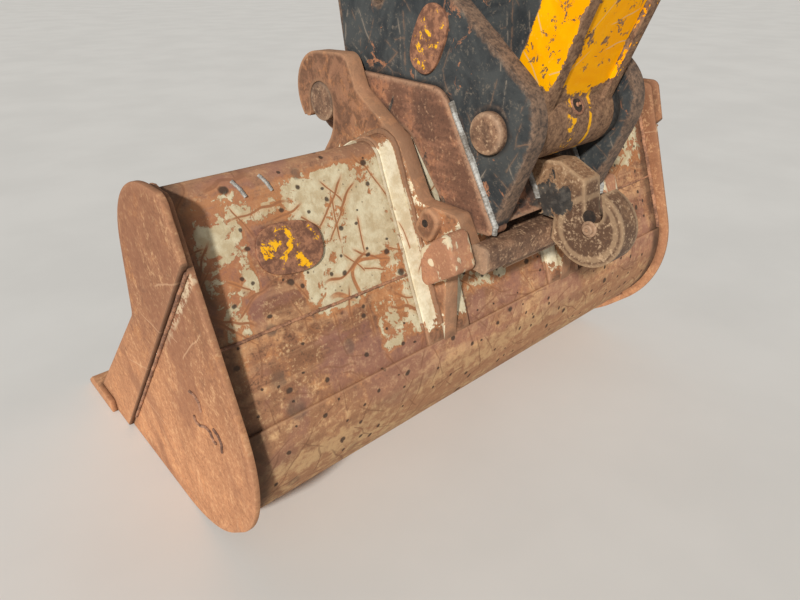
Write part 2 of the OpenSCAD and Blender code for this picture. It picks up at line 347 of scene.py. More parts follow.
sideTones = {
    "high": tone(138, 95, 70), "low": tone(208, 148, 106), "streakPale": tone(226, 178, 134),
    "streakDark": tone(142, 98, 72), "wash": tone(142, 97, 74), "smear": tone(222, 204, 172),
    "joint": tone(62, 48, 40), "blotch": tone(128, 90, 70), "scratch": tone(222, 182, 146),
    "swirl": tone(132, 92, 70), "pit": tone(96, 72, 58), "edge": tone(172, 128, 98),
    "grime": tone(98, 70, 54),
}


def sidePaint(name):
    # side plates: orange brown, lighter low down, streaked along the way the bucket digs
    p = Paint(name, sideTones)
    broad, mid, small, fine = rustColour(p, 0.9, 0.9)
    edge, near = p.mark("edge"), p.mark("near")
    warm = (p.height + (broad - 0.5) * 0.5 + (mid - 0.5) * 0.25).fall(0.25, 0.80)
    streaks = p.cloud(12, 6, 0.70, 0.6, p.moved((1, 1.8, 0.8), (0.70, 0, 0)))
    blotch = p.cloud(17, 6, 0.70, 0.9)
    p.over(0.38 + warm * 0.22, p.mix(warm, "high", "low"))
    p.over((streaks * 0.4 + small * 0.3 + fine * 0.4).rise(0.55, 0.68) * 0.45, "streakPale")
    p.over((streaks * 0.3 + small * 0.3 + fine * 0.5).fall(0.44, 0.54) * 0.5, "streakDark")
    tall = p.cloud(3.2, 4, 0.6, 0.8, p.moved((1, 1.5, 0.8), (0.70, 0, 0)))
    p.over((tall + p.height * 0.10).rise(0.49, 0.63) * 0.55, "wash")
    joint = (p.back - 0.100) * 0.750 + (p.height - 0.789) * 0.662  # metres in front of the cheek's rear edge
    smear = joint.near(-0.013, 0.006, 0.010) * p.height.rise(0.45, 0.70)
    smear = smear * (small * 0.6 + fine * 0.5).rise(0.50, 0.60)
    p.over(smear * abs(p.x).rise(0.744, 0.750) * 0.8, "smear")
    p.over(joint.near(0.0, 0.0018, 0.0030) * abs(p.x).rise(0.744, 0.750) * 0.8, "joint")
    p.over(blotch.rise(0.56, 0.66) * (0.55 - warm * 0.3), "blotch")
    line = strokes(p, p.y, p.height, 5.0, 0.0022, 0.6, 21, 0.03)[0]
    p.over(line * 0.35, "scratch")
    p.over(swirls(p, 2, 0.005, 22, 0.1) * 0.25, "swirl")
    p.over(pitted(p, 9.0, 0.009, 0.25, 3) * 0.6, "pit")
    p.over((edge + mid * 0.02).fall(0.006, 0.030) * 0.4, "edge")
    # grime and painted shade: darker close to other pieces
    p.over(near.fall(0.0, 0.016) * 0.5, "grime")
    height = broad * 1.2 + mid * 0.4 + small * 0.4 + fine * 0.3 + streaks * 0.3
    return p.finish(0.80 + fine * 0.12, height, 0.0016, 0.5, shine=0.15)


hangerTones = {
    "main": tone(138, 101, 80), "blotchDark": tone(98, 71, 56), "blotchPale": tone(196, 148, 114),
    "crust": tone(88, 64, 52), "halo": tone(192, 132, 88), "creamDirty": tone(212, 196, 162),
    "cream": tone(236, 226, 198), "stain": tone(200, 158, 118), "spot": tone(82, 66, 56),
    "edge": tone(196, 152, 118), "grime": tone(98, 72, 56),
}


def hangerPaint(name, coated):
    # the hangers are brown with a few flakes of cream; the pads under them keep most of their coat
    p = Paint(name, hangerTones)
    mid, small, fine = rustColour(p, 0.8, 0.8)[1:]
    edge, near = p.mark("edge"), p.mark("near")
    blotch = p.cloud(19, 5, 0.66, 0.9)
    p.over(0.35 + p.height.rise(0.84, 0.98) * 0.25, "main")
    p.over((blotch * 0.6 + small * 0.3 + fine * 0.2).rise(0.50, 0.60) * 0.75, "blotchDark")
    p.over((blotch * 0.6 + small * 0.3 + fine * 0.3).fall(0.44, 0.52) * 0.6, "blotchPale")
    patch = p.cloud(14, 6, 0.66, 0.5)
    flake = p.cloud(60, 5, 0.70, 0.4)
    if coated:
        zone = p.height.rise(0.44, 0.52) * p.height.fall(0.835, 0.865) * 0.34 - edge.fall(0.001, 0.007) * 0.10
    else:
        flat = p.facing(0)
        zone = abs(flat).rise(0.5, 0.8) * near.fall(0.0, 0.07) * p.height.fall(0.80, 0.90) * 0.13
        crust = p.height.near(0.86, 0.07, 0.04) * p.back.near(0.18, 0.09, 0.05)
        p.over(crust * (0.5 + mid.rise(0.4, 0.6) * 0.4), "crust")
    coat = patch * 0.55 + flake * 0.40 + zone
    keep = coat.rise(0.600, 0.625)
    line, halo = strokes(p, p.x, p.height, 12.0, 0.0018, 0.6, 5, 0.03)
    p.over(coat.rise(0.50, 0.60) * 0.5, "halo")
    cream = p.mix((small * 0.6 + mid * 0.5).rise(0.42, 0.64), "creamDirty", "cream")
    cream = p.mix(halo * 0.4, cream, "stain")
    p.over(keep * (1 - line), cream)
    dots = pitted(p, 15.0, 0.0070, 0.45, 5)
    p.over(dots * 0.8, "spot")
    p.over(edge.fall(0.002, 0.010) * (1 - keep) * 0.4, "edge")
    # grime and painted shade: darker close to other pieces
    p.over(near.fall(0.0, 0.010) * 0.45, "grime")
    height = mid * 0.5 + small * 0.5 + fine * 0.4 + keep * 0.4 - dots * 0.5
    return p.finish(0.80 - keep * 0.1 + fine * 0.1, height, 0.0022, 0.7, shine=0.2)


blockTones = {
    "main": tone(182, 132, 104), "dot": tone(226, 212, 180), "grime": tone(90, 66, 54),
}


def blockPaint(name):
    # the lock bosses: pinkish brown, a cream run down the back, and a painted dot on the outer face
    p = Paint(name, blockTones)
    mid, small, fine = rustColour(p, 0.6, 1.0)[1:]
    edge, near = p.mark("edge"), p.mark("near")
    p.over(0.5, "main")
    run = p.cloud(30, 5, 0.66, 0.4, p.moved((1.6, 1, 0.5)))
    run = (run + edge.fall(0.004, 0.016) * 0.10).rise(0.60, 0.64)
    p.over(run * 0.8, rust["cream"])
    away = p.away(0.036, 0.652)
    dot = (away + (small - 0.5) * 0.012).fall(0.0075, 0.0100) * abs(p.x).rise(0.298, 0.300)
    p.over(dot * 0.9, "dot")
    # grime and painted shade: darker close to other pieces
    p.over(near.fall(0.0, 0.012) * 0.5, "grime")
    height = mid * 0.5 + small * 0.5 + fine * 0.4 + run * 0.3 + dot * 0.4
    return p.finish(0.80 + fine * 0.1, height, 0.0022, 0.7, shine=0.2)


couplerTones = {
    "dark": tone(108, 76, 60), "pale": tone(146, 104, 82), "orange": tone(178, 122, 86),
    "black": tone(46, 48, 48), "blackWorn": tone(74, 74, 70), "edge": tone(180, 142, 114),
    "soot": tone(84, 62, 52), "pit": tone(76, 56, 46), "dust": tone(190, 150, 118),
    "grime": tone(54, 44, 40),
}


def couplerPaint(name):
    # the coupler's base: brown and rubbed outside, black paint left between its sides
    p = Paint(name, couplerTones)
    edge, near = p.mark("edge"), p.mark("near")
    mid, small, fine = p.grains(12, 52, 150)
    streaks = p.cloud(26, 4, 0.6, 0.2, p.moved((1, 0.6, 3.0), (-0.86, 0, 0)))
    p.colour = p.mix((mid * 0.6 + streaks * 0.5).rise(0.44, 0.68), "dark", "pale")
    p.over((mid * 0.6 + small * 0.6).rise(0.60, 0.76) * 0.7, "orange")
    inner = abs(p.x).fall(0.158, 0.176)
    black = (p.cloud(10, 6, 0.64, 0.7) + inner * 0.09).rise(0.615, 0.64)
    p.over(black * 0.9, p.mix(small.rise(0.4, 0.6), "black", "blackWorn"))
    worn = (edge + (small - 0.5) * 0.02).fall(0.003, 0.014)
    p.over(worn * 0.55, "edge")
    sooty = (p.cloud(7, 5, 0.66, 0.8) * 0.7 + small * 0.3 + p.height.fall(0.70, 0.90) * 0.05).rise(0.53, 0.60)
    p.over(sooty * (1 - worn) * 0.55, "soot")
    p.over((small * 0.5 + fine * 0.8).fall(0.50, 0.62) * 0.55, "pit")
    p.over((small * 0.6 + fine * 0.7).rise(0.70, 0.86) * 0.6, "dust")
    # grime and painted shade: darker close to other pieces
    p.over(near.fall(0.0, 0.010) * 0.6, "grime")
    height = mid * 0.5 + small * 0.5 + fine * 0.3
    return p.finish(0.66 + fine * 0.2 - black * 0.1, height, 0.0018, 0.6, shine=0.3)


earTones = {
    "black": tone(44, 48, 51), "blackPale": tone(70, 73, 73), "dust": tone(120, 110, 98),
    "scratchBrown": tone(124, 98, 80), "scratchGrey": tone(140, 128, 114), "scratchDark": tone(116, 94, 78),
    "rustDark": tone(122, 88, 70), "rustPale": tone(180, 124, 90), "steelDark": tone(78, 65, 57),
    "steelPale": tone(136, 110, 90), "grime": tone(34, 32, 31),
}


def earPaint(name):
    # black paint, scratched grey and brown, worn to brown steel along the cut edges
    p = Paint(name, earTones)
    edge, near = p.mark("edge"), p.mark("near")
    flat = p.facing(0)
    face = abs(flat).rise(0.75, 0.9)
    mid, small, fine = p.grains(10, 55, 160, 6)
    p.colour = p.mix(mid.rise(0.38, 0.62), "black", "blackPale")
    p.over((small * 0.6 + fine * 0.7).rise(0.68, 0.86) * 0.7, "dust")
    scratches = ((7.0, 0.0024, 0.8, "scratchBrown", 11), (11.0, 0.0018, 0.8, "scratchGrey", 12),
                 (16.0, 0.0016, 0.7, "scratchDark", 13))
    for scale, thin, share, shade, seed in scratches:
        line, halo = strokes(p, p.y, p.height, scale, thin, share, seed, 0.03)
        p.over((line * 0.75).most(halo * 0.16) * small.rise(0.38, 0.5), shade)
    lower = p.height.fall(0.72, 1.0)
    patch = (p.cloud(15, 6, 0.66, 0.9) + lower * 0.055 + edge.fall(0.0, 0.06) * 0.04).rise(0.645, 0.668)
    rusty = p.mix((small * 0.5 + fine * 0.5).rise(0.40, 0.60), "rustDark", "rustPale")
    p.over(patch * 0.9, rusty)
    worn = (edge + (mid - 0.5) * 0.035 + (small - 0.5) * 0.02).fall(0.003, 0.012)
    worn = worn.most(1 - face) * near.rise(0.003, 0.016)
    steel = p.mix((small * 0.5 + fine * 0.5).rise(0.38, 0.62), "steelDark", "steelPale")
    p.over(worn * 0.95, steel)
    # grime and painted shade: darker close to other pieces
    p.over(near.fall(0.0, 0.012) * 0.7, "grime")
    height = mid * 0.3 + small * 0.4 + fine * 0.3 - worn * 0.3 - patch * 0.4
    return p.finish(0.55 + fine * 0.15 + worn * 0.15, height, 0.0016, 0.6, shine=0.35)


steelTones = {
    "dark": tone(104, 78, 62), "pale": tone(150, 115, 90), "dust": tone(204, 170, 136),
    "pit": tone(86, 64, 52), "rubbed": tone(190, 160, 132), "grime": tone(54, 44, 40),
}


def wornSteel(name):
    # pins, bars and what rubs: brown steel with dusty flecks, polished on the corners
    p = Paint(name, steelTones)
    edge, near = p.mark("edge"), p.mark("near")
    mid, small, fine = p.grains(16, 70, 170)
    p.colour = p.mix(mid.rise(0.38, 0.62), "dark", "pale")
    p.over((small * 0.6 + fine * 0.7).rise(0.67, 0.84) * 0.8, "dust")
    p.over((small * 0.5 + fine * 0.8).fall(0.50, 0.62) * 0.7, "pit")
    rubbed = edge.fall(0.002, 0.012) * mid.rise(0.30, 0.55)
    p.over(rubbed * 0.4, "rubbed")
    # grime and painted shade: darker close to other pieces
    p.over(near.fall(0.0, 0.008) * 0.6, "grime")
    return p.finish(0.58 + fine * 0.2, small * 0.5 + fine * 0.4 + mid * 0.3, 0.0014, 0.6, metal=0.2)


hookTones = {
    "dark": tone(96, 70, 52), "pale": tone(158, 122, 90), "dust": tone(208, 178, 144),
    "pit": tone(84, 62, 50), "rubbed": tone(190, 160, 126), "black": tone(44, 46, 46),
    "blackWorn": tone(78, 76, 72), "grime": tone(54, 44, 40),
}


def hookPaint(name):
    # the lifting hook: tan brown, its bevelled rim rubbed bright, black paint left on the shank
    p = Paint(name, hookTones)
    edge, near = p.mark("edge"), p.mark("near")
    mid, small, fine = p.grains(16, 60, 170)
    away = p.away(-0.140, 0.702)
    p.colour = p.mix((mid * 0.6 + away * 3.0).rise(0.44, 0.80), "dark", "pale")
    p.over((small * 0.6 + fine * 0.7).rise(0.66, 0.84) * 0.8, "dust")
    p.over((small * 0.5 + fine * 0.8).fall(0.50, 0.62) * 0.7, "pit")
    ring = (away + (small - 0.5) * 0.010).near(0.064, 0.003, 0.006)
    p.over(ring.most((edge + (small - 0.5) * 0.01).fall(0.002, 0.010)) * 0.5, "rubbed")
    shank = p.away(-0.050, 0.745)
    black = ((mid - 0.5) * 0.20 + (small - 0.5) * 0.08 + shank).fall(0.034, 0.040)
    black = black * abs(p.x).rise(0.018, 0.024)
    p.over(black * 0.92, p.mix(small.rise(0.4, 0.6), "black", "blackWorn"))
    # grime and painted shade: darker close to other pieces
    p.over(near.fall(0.0, 0.008) * 0.6, "grime")
    return p.finish(0.60 + fine * 0.2, small * 0.5 + fine * 0.4 + mid * 0.4, 0.0018, 0.6, metal=0.1)


linkTones = {
    "deep": tone(244, 162, 0), "bright": tone(252, 180, 3), "dust": tone(246, 200, 90),
    "primerDark": tone(92, 70, 58), "primerPale": tone(150, 118, 92), "spot": tone(96, 74, 60),
    "scratch": tone(206, 180, 140), "trace": tone(236, 172, 24),
}


def linkPaint(name):
    # yellow paint, chipped to a dark primer, bare at the boss and along the plates' edges
    p = Paint(name, linkTones)
    edge = p.mark("edge")
    flat = p.facing(0)
    mid = p.cloud(9, 6, 0.62, 0.6)
    small = p.cloud(60, 5, 0.68, 0.3)
    fine = p.cloud(160, 3, 0.7)
    yellow = p.mix(mid.rise(0.35, 0.65), "deep", "bright")
    yellow = p.mix((small * 0.6 + fine * 0.6).rise(0.68, 0.80) * 0.25, yellow, "dust")
    primer = p.mix((small * 0.5 + fine * 0.5).rise(0.36, 0.62), "primerDark", "primerPale")
    foot = (p.height + (small - 0.5) * 0.05 + (mid - 0.5) * 0.05 - abs(p.x) * 0.25).fall(0.925, 0.965)
    cut = (1 - abs(flat).rise(0.4, 0.7)) * abs(p.x).rise(0.086, 0.090)  # the plates' own edges
    chips = p.cloud(34, 6, 0.70, 0.6) * 0.6 + p.cloud(7, 3, 0.6, 0.5) * 0.4
    worn = foot * 0.5 + cut * 0.14 + (edge + (mid - 0.5) * 0.01).fall(0.001, 0.006) * 0.10
    top = (p.height - 1.16 + (mid - 0.5) * 0.3).rise(-0.04, 0.06) * p.x.fall(-0.08, -0.06) * 0.035
    corner = (p.height - 1.02).rise(0.0, 0.10) * p.x.near(-0.075, 0.010, 0.020) * 0.030
    keep = (chips - worn - top - corner).rise(0.430, 0.442)
    p.colour = p.mix(keep, primer, yellow)
    p.over(pitted(p, 30.0, 0.0040, 0.5, 8) * keep * 0.8, "spot")
    line = strokes(p, p.x + p.y, p.height, 12.0, 0.0016, 0.6, 31, 0.03)[0]
    p.over(line * keep * 0.7, "scratch")
    band = (p.x - 0.035 + (mid - 0.5) * 0.02).near(0.0, 0.0035, 0.002) * small.rise(0.40, 0.48)
    trace = band.most((p.x + 0.030).near(0.0, 0.012, 0.006) * small.rise(0.53, 0.56))
    trace = trace * p.height.rise(0.836, 0.842) * p.height.fall(0.955, 0.965) * p.back.fall(-0.03, 0.0)
    p.over(trace * 0.95, "trace")
    height = keep * 0.6 + small * 0.3 + fine * 0.2
    return p.finish(0.66 - keep * 0.16 + fine * 0.1, height, 0.0012, 0.7, shine=0.05)


def weldPaint(name, low, high, rough, metal):
    # the ripples of a bead, dark in the hollows
    p = Paint(name)
    mid = p.cloud(22, 5, 0.6, 0.4)
    fine = p.cloud(160, 4, 0.7)
    p.colour = p.mix((mid * 0.6 + fine * 0.5).rise(0.44, 0.66), low, high)
    return p.finish(rough + fine * 0.2, fine + mid * 0.5, 0.0010, 0.6, metal=metal)


badgeTones = {
    "dark": tone(112, 78, 62), "pale": tone(164, 116, 88), "yellow": tone(230, 160, 10),
    "yellowPale": tone(246, 184, 30),
}


def badgePaint(name):
    # a bare plate: rust with chips of yellow
    p = Paint(name, badgeTones)
    edge = p.mark("edge")
    mid = p.cloud(26, 6, 0.65, 0.6)
    small = p.cloud(70, 4, 0.7)
    rusty = p.mix(small.rise(0.38, 0.62), "dark", "pale")
    keep = (mid * 0.7 + small * 0.35 - edge.fall(0.001, 0.012) * 0.12).rise(0.545, 0.565)
    p.colour = p.mix(keep, rusty, p.mix(small.rise(0.4, 0.6), "yellow", "yellowPale"))
    return p.finish(0.70 - keep * 0.15, small * 0.5 + keep * 0.6, 0.0012, 0.7, shine=0.25)


def plainPaint(name, colour, rough, fleck):
    p = Paint(name)
    fine = p.cloud(120, 4, 0.7)
    p.colour = p.mix(fine.rise(0.35, 0.7), colour, fleck)
    return p.finish(rough + fine * 0.15, fine, 0.0006, 0.4)


shellRust = shellPaint("shellRust")
sideRust = sidePaint("sideRust")
hangerRust = hangerPaint("hangerRust", False)
padCream = hangerPaint("padCream", True)
blockRust = blockPaint("blockRust")
couplerRed = couplerPaint("couplerRed")
earBlack = earPaint("earBlack")
steelBrown = wornSteel("steelBrown")
hookTan = hookPaint("hookTan")
linkYellow = linkPaint("linkYellow")
weldRust = weldPaint("weldRust", tone(112, 78, 60), tone(182, 132, 100), 0.75, 0.0)
# a darker copy of the rust weld paint: painted shade for the shadowed side of the raised scar ridges
weldDark = weldPaint("weldDark", tone(92, 66, 54), tone(172, 128, 102), 0.75, 0.0)
weldBright = weldPaint("weldBright", tone(120, 114, 106), tone(186, 185, 180), 0.55, 0.2)
badgeRust = badgePaint("badgeRust")
sealDark = plainPaint("sealDark", tone(34, 34, 34), 0.6, tone(62, 58, 54))
# painted shade: a dark material for thin discs that stand in for the shade inside holes and recesses
holeDark = plainPaint("holeDark", tone(36, 29, 25), 0.9, tone(66, 52, 42))
print("materials made")


# Dressing: a copy of each CAD node with broken edges and marks for wear, grime and painted shade

def cleanCopy(node):
    # the solid with its flat faces made whole
    mesh = bmesh.new()
    mesh.from_mesh(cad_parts[node].data)
    bmesh.ops.remove_doubles(mesh, verts=mesh.verts, dist=2e-5)
    bmesh.ops.dissolve_limit(mesh, angle_limit=math.radians(0.5), verts=mesh.verts, edges=mesh.edges)
    return mesh


nodeTrees = {}
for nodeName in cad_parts:
    rough = cleanCopy(nodeName)
    nodeTrees[nodeName] = BVHTree.FromBMesh(rough)
    rough.free()


def sharpEdges(mesh, angle=28):
    return [e for e in mesh.edges if len(e.link_faces) == 2 and e.calc_face_angle(0) > math.radians(angle)]


def gridCut(mesh, cell):
    # cuts the faces into cells, whose corners carry the marks
    for axis in range(3):
        low = min(v.co[axis] for v in mesh.verts)
        high = max(v.co[axis] for v in mesh.verts)
        count = int((high - low) / cell)
        if count < 3:
            continue
        for i in range(1, count):
            at, normal = Vector(), Vector()
            at[axis] = low + (high - low) * i / count
            normal[axis] = 1
            bmesh.ops.bisect_plane(mesh, geom=mesh.verts[:] + mesh.edges[:] + mesh.faces[:], dist=1e-6,
                                   plane_co=at, plane_no=normal)


def markMesh(mesh, edgePoints, without, measured=True):
    # edge: metres to the nearest sharp edge; near: metres to the nearest other piece
    edgeLayer = mesh.verts.layers.float.new("edge")
    nearLayer = mesh.verts.layers.float.new("near")
    tree = KDTree(max(1, len(edgePoints)))
    for i, point in enumerate(edgePoints):
        tree.insert(point, i)
    tree.balance()
    for v in mesh.verts:
        v[edgeLayer] = min(0.3, tree.find(v.co)[2]) if edgePoints else 0.3
        best = 0.08
        for other, otherTree in nodeTrees.items() if measured else ():
            if other != without:
                hit = otherTree.find_nearest(v.co, best)
                if hit[3] is not None and hit[3] < best:
                    best = hit[3]
        v[nearLayer] = best


def edgeSamples(edges, gap=0.004):
    points = []
    for e in edges:
        a, b = e.verts[0].co, e.verts[1].co
        steps = max(1, int((b - a).length / gap))
        points += [a.lerp(b, i / steps) for i in range(steps + 1)]
    return points


def pieceFrom(mesh, name, material, body):
    data = bpy.data.meshes.new(name)
    mesh.to_mesh(data)
    mesh.free()
    data.materials.append(material)
    data.polygons.foreach_set("use_smooth", [True] * len(data.polygons))
    data.set_sharp_from_angle(angle=math.radians(32))
    piece = bpy.data.objects.new(name, data)
    bpy.context.scene.collection.objects.link(piece)
    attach(piece, body)
    return piece


dressing = {  # node: (material, slot, broken edge in metres, mesh cell in metres)
    "side_plate_left": (sideRust, "bucket_steel", 0.0025, 0.022),
    "side_plate_right": (sideRust, "bucket_steel", 0.0025, 0.030),
    "cheek_left": (sideRust, "bucket_steel", 0.0025, 0.022),
    "cheek_right": (sideRust, "bucket_steel", 0.0025, 0.030),
    "shell": (shellRust, "bucket_steel", 0.0015, 0.036),
    "wear_wrapper": (shellRust, "bucket_steel", 0.0015, 0.036),
    "mouth_bar": (shellRust, "bucket_steel", 0.0030, 0.050),
    "cutting_edge": (sideRust, "bucket_steel", 0.0030, 0.030),
    "hanger_left": (hangerRust, "hanger_paint", 0.0030, 0.014),
    "hanger_right": (hangerRust, "hanger_paint", 0.0030, 0.018),
    "hanger_pads": (padCream, "hanger_paint", 0.0020, 0.018),
    "lock_blocks": (blockRust, "bucket_steel", 0.0060, 0.010),
    "lock_crossbar": (steelBrown, "worn_steel", 0.0030, 0.016),
    "base_left": (couplerRed, "coupler_paint", 0.0040, 0.014),
    "base_right": (couplerRed, "coupler_paint", 0.0040, 0.020),
    "base_deck": (couplerRed, "coupler_paint", 0.0020, 0.020),
    "base_crossplate": (couplerRed, "coupler_paint", 0.0020, 0.030),
    "front_bar": (steelBrown, "worn_steel", 0.0030, 0.020),
    "ear_left": (earBlack, "ear_paint", 0.0035, 0.012),
    "ear_right": (earBlack, "ear_paint", 0.0035, 0.016),
    "link_pin": (steelBrown, "worn_steel", 0.0060, 0.012),
    "lifting_hook": (hookTan, "coupler_paint", 0.0130, 0.010),
    "wedge_guides": (couplerRed, "coupler_paint", 0.0020, 0.030),
    "lock_cylinder": (earBlack, "ear_paint", 0.0020, 0.030),
    "lock_wedge": (steelBrown, "worn_steel", 0.0020, 0.020),
    "link": (linkYellow, "link_paint", 0.0030, 0.014),
    "link_seals": (sealDark, "seal_rubber", 0.0010, 0.030),
}

waist = {"middle": spot(0, -2, 901), "half": 0.120, "share": 0.985}  # the pin runs free of the turning bore
for nodeName, (material, slot, broken, cell) in dressing.items():
    body = nodeName if nodeName in ("lock_wedge", "link") else "bucket"
    mesh = cleanCopy(nodeName)
    edges = sharpEdges(mesh)
    points = edgeSamples(edges)
    bmesh.ops.bevel(mesh, geom=edges, offset=broken, offset_type="OFFSET", segments=2, profile=0.5,
                    affect="EDGES", clamp_overlap=True)
    gridCut(mesh, cell * (1.0))
    bmesh.ops.dissolve_degenerate(mesh, dist=2e-6, edges=mesh.edges)
    markMesh(mesh, points, nodeName)
    for v in mesh.verts if nodeName == "link_pin" else ():
        if abs(v.co.x) < waist["half"]:
            v.co = waist["middle"] + (v.co - waist["middle"]) * Vector((1, waist["share"], waist["share"]))
    words = (nodeName if "_" in nodeName else "bucket_" + nodeName).split("_")
    piece = pieceFrom(mesh, words[0] + "".join(w.title() for w in words[1:]), material, body)
    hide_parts(nodeName)
print("solids dressed")


# Outlines of the bucket's side view, as the solids have them: rows of back distance, height and radius

shellRows = ((408, 583, 0), (220, 658, 194), (250, 812, 40), (314, 371, 266), (430, 400, 366), (884, 20, 0))
baseRows = ((477, 895, 78), (154, 910, 57), (-18, 712, 14))
deckRows = ((404, 961, 0), (154, 910, 51), (-25, 716, 0))


def tangents(rows):
    # outward normal, as an angle, of each straight line between two discs
    angles = []
    for (ay, az, ar), (by, bz, br) in zip(rows, rows[1:]):
        long = math.hypot(by - ay, bz - az)
        angles.append(math.atan2(-(by - ay), bz - az) + math.asin((ar - br) / long))
    return angles


def outline(rows, out=0.0, step=4):
    # the open path round the discs, moved outwards, as a list of back distance and height
    angles = tangents(rows)
    points = []
    for i, (y, z, radius) in enumerate(rows):
        first = angles[max(0, i - 1)]
        sweep = (angles[min(i, len(angles) - 1)] - first) % (2 * math.pi)
        count = max(1, math.ceil(math.degrees(sweep) / step)) if radius and 0.001 < sweep < 6.28 else 1
        for k in range(count + 1 if radius else 1):
            angle = first + sweep * k / count if radius else first
            points.append((y + (radius + out) * math.cos(angle), z + (radius + out) * math.sin(angle)))
    return points


# Weld beads: a rippled bead along each path

class Grow(Nodes):
    # a Geometry Nodes tree: the wires that come in, and their keys on a modifier, by name
    def __init__(self, name, inputs):
        self.tree = bpy.data.node_groups.new(name, "GeometryNodeTree")
        ends = self.tree.interface
        self.keys = {label: ends.new_socket(label, in_out="INPUT", socket_type="NodeSocket" + kind).identifier
                     for label, kind in inputs.items()}
        ends.new_socket("Geometry", in_out="OUTPUT", socket_type="NodeSocketGeometry")
        given = self.add("NodeGroupInput", out=None)
        self.given = {label: Wire(self, given.outputs[label]) for label in inputs}


bead = Grow("weldBead", {"Geometry": "Geometry", "Radius": "Float", "Ripple": "Float", "Seed": "Int",
                         "Paint": "Material"})
radius, ripple = bead.given["Radius"], bead.given["Ripple"]
line = bead.add("GeometryNodeMeshToCurve", {}, {0: bead.given["Geometry"]})
line = bead.add("GeometryNodeResampleCurve", {"mode": "LENGTH"}, {"Curve": line, "Length": ripple / 3.0})
grain, wander = bead.add("ShaderNodeTexNoise", {"noise_dimensions": "4D"},
                         {"Scale": 38.0, "Detail": 2.0, "W": bead.given["Seed"]}, (0, "Color"))
drift = bead.add("ShaderNodeVectorMath", {"operation": "SUBTRACT"}, {0: wander, 1: (0.5, 0.5, 0.5)})
drift = bead.add("ShaderNodeVectorMath", {"operation": "SCALE"}, {0: drift, "Scale": radius * 0.8})
line = bead.add("GeometryNodeSetPosition", {}, {"Geometry": line, "Offset": drift})
turn = bead.add("GeometryNodeInputIndex") * (2 * math.pi / 3)
swell = turn.math("SINE").math("MULTIPLY_ADD", 0.08, 0.62)
swell = grain.math("MULTIPLY_ADD", 0.6, swell) * radius
ring = bead.add("GeometryNodeCurvePrimitiveCircle", {"mode": "RADIUS"}, {"Resolution": 8, "Radius": 1.0})
solid = bead.add("GeometryNodeCurveToMesh", {},
                 {"Curve": line, "Profile Curve": ring, "Scale": swell, "Fill Caps": True})
solid = bead.add("GeometryNodeRealizeInstances", {}, {"Geometry": solid})
solid = bead.add("GeometryNodeSetMaterial", {}, {"Geometry": solid, "Material": bead.given["Paint"]})
bead.add("NodeGroupOutput", {}, {0: solid}, None)

# Millimetres: faces by their distance from the middle, seams by back distance and height
hangerX, insideX, cheekX, faceX = 241, 741, 759, 757
padOut, padHalf, padMiddle, seamAt, lipAt = 10, 66, 222, (116, 592), (886, 45)
shellCorner = [[(s * insideX, y, z) for y, z in outline(shellRows, 3) if z > 436] for s in (-1, 1)]
wrapCorner = [[(s * insideX, y, z) for y, z in outline(shellRows[3:], 11) if z < 430] for s in (-1, 1)]
padSides = [[(x, y, z) for y, z in outline(shellRows[:4], 3) if z > 438]
            for s in (-1, 1) for x in (s * (padMiddle - padHalf - 2), s * (padMiddle + padHalf + 2))]
padFeet = [[(s * (padMiddle + k), 53, 434) for k in (-padHalf, 0, padHalf)] for s in (-1, 1)]
hangerFeet = [[(s * (hangerX + 3), y, z) for y, z in outline(shellRows[:4], padOut + 3)
               if z > 418 and (z >= 690 or y <= 300)] for s in (-1, 1)]
cheekRear = [(96 + 696 * k / 20, 785 - 789 * k / 20) for k in range(20)]
cheekRear = [[(s * cheekX, y, z) for y, z in cheekRear if 60 < z < 782] for s in (-1, 1)]
seamAcross = [[(x, *seamAt) for x in (a, (a + b) / 2, b)]
              for a, b in ((-738, -292), (-152, 152), (292, 738))]
lipSeam = [[(x, *lipAt) for x in (-738, 0, 738)]]
earFoot = outline(baseRows[1:], 4) + [(-32, 704)]
earFeet = [[(s * 192, y, z) for y, z in earFoot if z < 948] for s in (-1, 1)]
(topY, topZ), (endY, endZ) = outline(deckRows, 3)[-2:]
deckFeet = [[(s * x, topY + (endY - topY) * (topZ - z) / (topZ - endZ), z) for z in heights]
            for s in (-1, 1) for x, heights in ((147, (930, 830, 732)), (31, (800, 770, 738)))]
sideMarks = (((244, 442), (222, 446), (203, 438), (200, 417)),
             ((245, 380), (242, 366), (222, 367), (191, 384), (173, 383), (164, 367), (153, 366)),
             ((154, 403), (135, 399), (127, 383), (132, 359)))
sideMarks = [[(-faceX, y, z) for y, z in way] for way in sideMarks]
marks = [[(x, 226, 844), (x + 9, 215, 831), (x + 16, 209, 816)] for x in (-616, -562)]

beads = {  # name: (paths in millimetres, radius, ripple, material, slot)
    "shellWelds": (shellCorner + wrapCorner, 0.0060, 0.0090, weldRust, "bucket_steel"),
    "seamWelds": (seamAcross, 0.0036, 0.0080, weldRust, "bucket_steel"),
    "padWelds": (padSides + padFeet, 0.0042, 0.0080, padCream, "hanger_paint"),
    "hangerWelds": (hangerFeet, 0.0080, 0.0100, hangerRust, "hanger_paint"),
    "cheekWelds": (cheekRear, 0.0040, 0.0090, weldRust, "bucket_steel"),
    "earWelds": (earFeet, 0.0068, 0.0060, weldBright, "ear_paint"),
    "deckWelds": (deckFeet, 0.0070, 0.0090, weldBright, "coupler_paint"),
    "edgeWelds": (lipSeam, 0.0060, 0.0090, weldRust, "bucket_steel"),
    # the scars use the darker weld paint, partly painted shade
    "sideBeads": (sideMarks, 0.0034, 0.0080, weldDark, "bucket_steel"),
    "topBeads": (marks, 0.0042, 0.0080, weldBright, "bucket_steel"),
}

